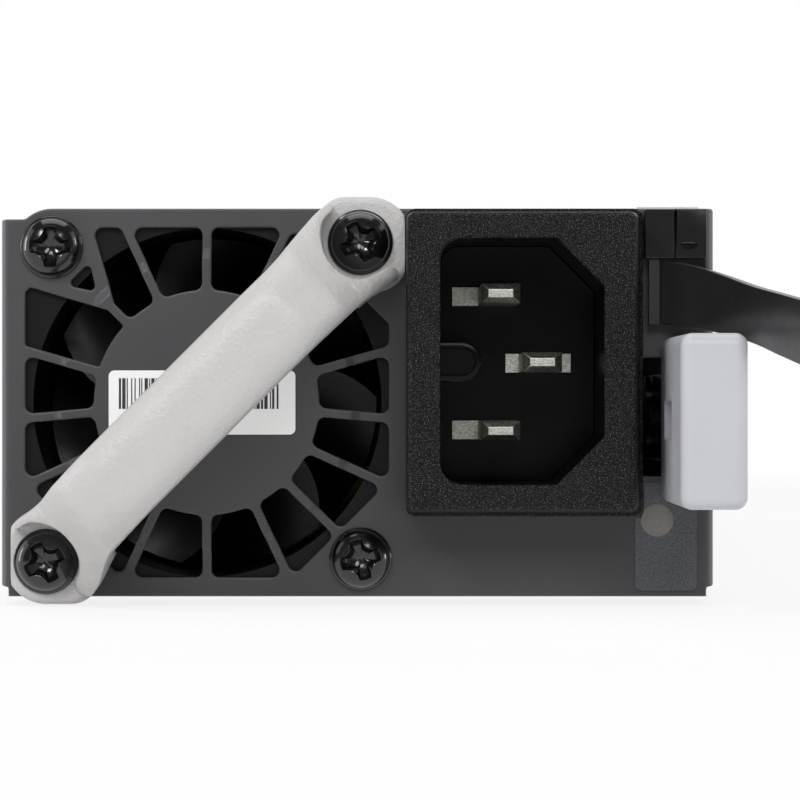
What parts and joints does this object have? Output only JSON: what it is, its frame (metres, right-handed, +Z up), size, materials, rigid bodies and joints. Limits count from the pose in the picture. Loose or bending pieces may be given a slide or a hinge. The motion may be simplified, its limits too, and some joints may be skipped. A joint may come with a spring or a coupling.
{
  "type": "hot swap server power supply",
  "caption": "Slim sheet-metal server power supply with fan grille, diagonal pull handle, appliance inlet, sprung latch, cord strap and a rear card edge connector.",
  "frame": {"origin": "centre of the case's underside, halfway between the front panel and the rear wall", "axes": "+X across the case towards the latch side, +Y from the front panel to the rear card edge, +Z up"},
  "size_m": [0.1016, 0.2643, 0.0422],
  "materials": {
    "panel_paint": "satin dark grey paint",
    "handle_plastic": "fine grained light warm grey",
    "cap_plastic": "smooth light cool grey",
    "black_screw": "glossy black zinc",
    "inlet_plastic": "black, coarse spark texture",
    "pin_metal": "dull nickel plate",
    "nylon": "glossy black nylon",
    "fan_plastic": "glossy black",
    "spring_steel": "bright",
    "zinc_steel": "galvanised",
    "brass": "bright",
    "gold": "gold plate",
    "light_guide": "milky clear",
    "overlay": "grey-blue printed film",
    "paper": "white label",
    "board_green": "green solder mask",
    "film": "black insulating film",
    "ferrite": "dark ferrite",
    "powder_core": "painted powder core",
    "copper": "enamelled copper",
    "yellow_tape": "yellow tape",
    "blue_disc": "blue coating",
    "ceramic": "ceramic",
    "black_package": "moulded package",
    "aluminium": "plain",
    "sleeve": "dark sleeve",
    "wire": "insulated wire"
  },
  "bodies": {
    "case": {"front_panel": "panel_paint", "handle_screws": "black_screw", "fan_screws": "black_screw", "pull_handle": "handle_plastic", "fan_frame": "fan_plastic", "fan_stator": "copper", "fan_leads": "wire", "fan_plug": "ceramic", "inlet_housing": "inlet_plastic", "line_pin": "pin_metal", "neutral_pin": "pin_metal", "earth_pin": "pin_metal", "inlet_wires": "wire", "latch_rivets": "spring_steel", "strap_anchor": "nylon", "strap_root": "nylon", "status_label": "overlay", "light_pipe": "light_guide", "status_light": "board_green", "hub_label": "paper", "chassis_tray": "zinc_steel", "top_cover": "zinc_steel", "cover_screws": "zinc_steel", "grounding_spring": "spring_steel", "main_board": "board_green", "gold_contacts": "gold", "board_standoffs": "brass", "board_screws": "zinc_steel", "insulator_sheet": "film", "choke_core": "ferrite", "choke_windings": "copper", "boost_choke_core": "powder_core", "boost_choke_winding": "copper", "film_capacitors": "yellow_tape", "disc_capacitors": "blue_disc", "input_fuse": "ceramic", "inrush_relay": "black_package", "bridge_rectifier": "black_package", "primary_heatsink": "aluminium", "power_transistors": "black_package", "transistor_screws": "zinc_steel", "bulk_capacitor": "sleeve", "transformer_core": "ferrite", "transformer_winding": "yellow_tape", "resonant_inductor": "ferrite", "standby_transformer": "ferrite", "output_capacitors": "aluminium", "output_busbars": "copper", "control_board": "board_green", "control_chips": "black_package"},
    "fan_rotor": {"fan_impeller": "fan_plastic", "fan_shaft": "spring_steel"},
    "latch": {"latch_spring": "spring_steel", "latch_cap": "cap_plastic"},
    "strap": {"cord_strap": "nylon"}
  },
  "joints": [
    {"name": "fan_spin", "type": "hinge", "parent": "case", "child": "fan_rotor", "pos_m": [-0.0155, -0.0761, 0.02], "axis": [0, 1, 0], "continuous": true},
    {"name": "latch_press", "type": "hinge", "parent": "case", "child": "latch", "pos_m": [0.03465, -0.0405, 0.0182], "axis": [0, 0, -1], "range_deg": [0, 1.9], "stiffness_Nm_per_rad": 3, "springref_deg": -5.73},
    {"name": "strap_flex", "type": "hinge", "parent": "case", "child": "strap", "pos_m": [0.0313, -0.0936, 0.03145], "axis": [0, 0, 1], "range_deg": [0, 35], "stiffness_Nm_per_rad": 0.02}
  ]
}
